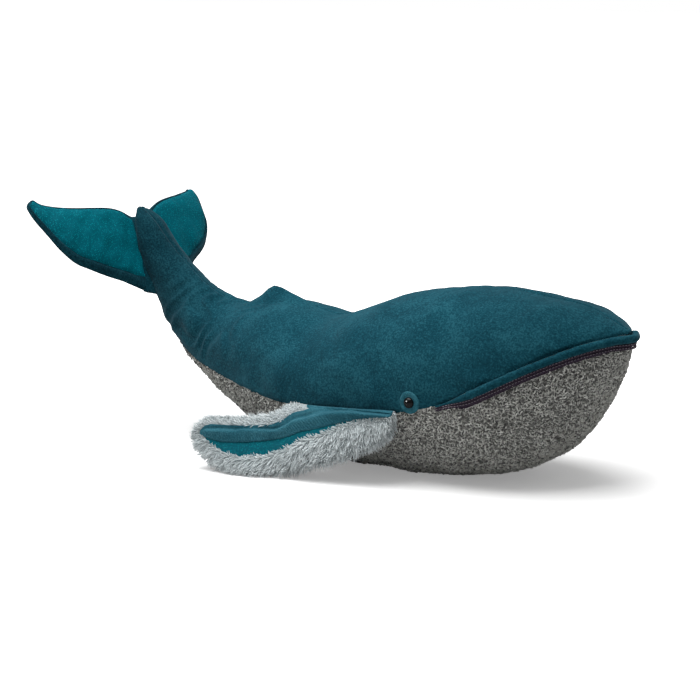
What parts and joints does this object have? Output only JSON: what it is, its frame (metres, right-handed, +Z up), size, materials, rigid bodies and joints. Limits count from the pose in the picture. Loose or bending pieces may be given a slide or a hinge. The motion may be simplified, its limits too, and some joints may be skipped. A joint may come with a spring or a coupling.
{
  "type": "plush whale",
  "caption": "Stuffed toy whale lying on its belly, with a raised tail, side fins and swinging tail flukes.",
  "frame": {"origin": "on the floor, under the middle of the whale's bounding box", "axes": "+X towards the head, +Y towards the whale's left, +Z up"},
  "size_m": [0.6635, 0.3068, 0.2593],
  "materials": {
    "velour": "short-pile petrol blue velour",
    "boucle": "curly grey looped pile",
    "teal_cloth": "teal knit with a faint sparkle",
    "fur": "pale blue-grey brushed pile",
    "tape": "dark plum woven tape",
    "felt": "blue felt",
    "stuffing": "white polyester fibre",
    "eye": "polished black",
    "washer": "natural moulded plastic"
  },
  "bodies": {
    "body": {"head_fill": "stuffing", "trunk_fill": "stuffing", "tail_fill": "stuffing", "back_panel_right": "velour", "back_panel_left": "velour", "belly_panel": "boucle", "lip_piping": "velour", "mouth_trim_upper": "tape", "mouth_trim_lower": "tape", "eye_right": "eye", "eye_left": "eye", "eye_ring_right": "felt", "eye_ring_left": "felt", "eye_washer_right": "washer", "eye_washer_left": "washer"},
    "fin_right": {"fin_fill_right": "stuffing", "fin_fur_right": "fur", "fin_velour_right": "velour", "fin_teal_right": "teal_cloth"},
    "fluke_right": {"fluke_fill_right": "stuffing", "fluke_velour_right": "velour", "fluke_teal_right": "teal_cloth"},
    "fin_left": {"fin_fill_left": "stuffing", "fin_fur_left": "fur", "fin_velour_left": "velour", "fin_teal_left": "teal_cloth"},
    "fluke_left": {"fluke_fill_left": "stuffing", "fluke_velour_left": "velour", "fluke_teal_left": "teal_cloth"}
  },
  "joints": [
    {"name": "fin_right_flap", "type": "hinge", "parent": "body", "child": "fin_right", "pos_m": [0.05575, -0.10685, 0.06925], "axis": [-0.9962, 0.0576, -0.0655], "range_deg": [0, 70]},
    {"name": "fluke_right_flap", "type": "hinge", "parent": "body", "child": "fluke_right", "pos_m": [-0.27885, -0.02245, 0.19305], "axis": [-0.4249, 0.187, 0.8857], "range_deg": [-25, 25], "stiffness_Nm_per_rad": 0.15},
    {"name": "fin_left_flap", "type": "hinge", "parent": "body", "child": "fin_left", "pos_m": [0.05575, 0.10685, 0.06925], "axis": [0.9962, 0.0576, 0.0655], "range_deg": [0, 70]},
    {"name": "fluke_left_flap", "type": "hinge", "parent": "body", "child": "fluke_left", "pos_m": [-0.27885, 0.02245, 0.19305], "axis": [0.4249, 0.187, -0.8857], "range_deg": [-25, 25], "stiffness_Nm_per_rad": 0.15}
  ]
}
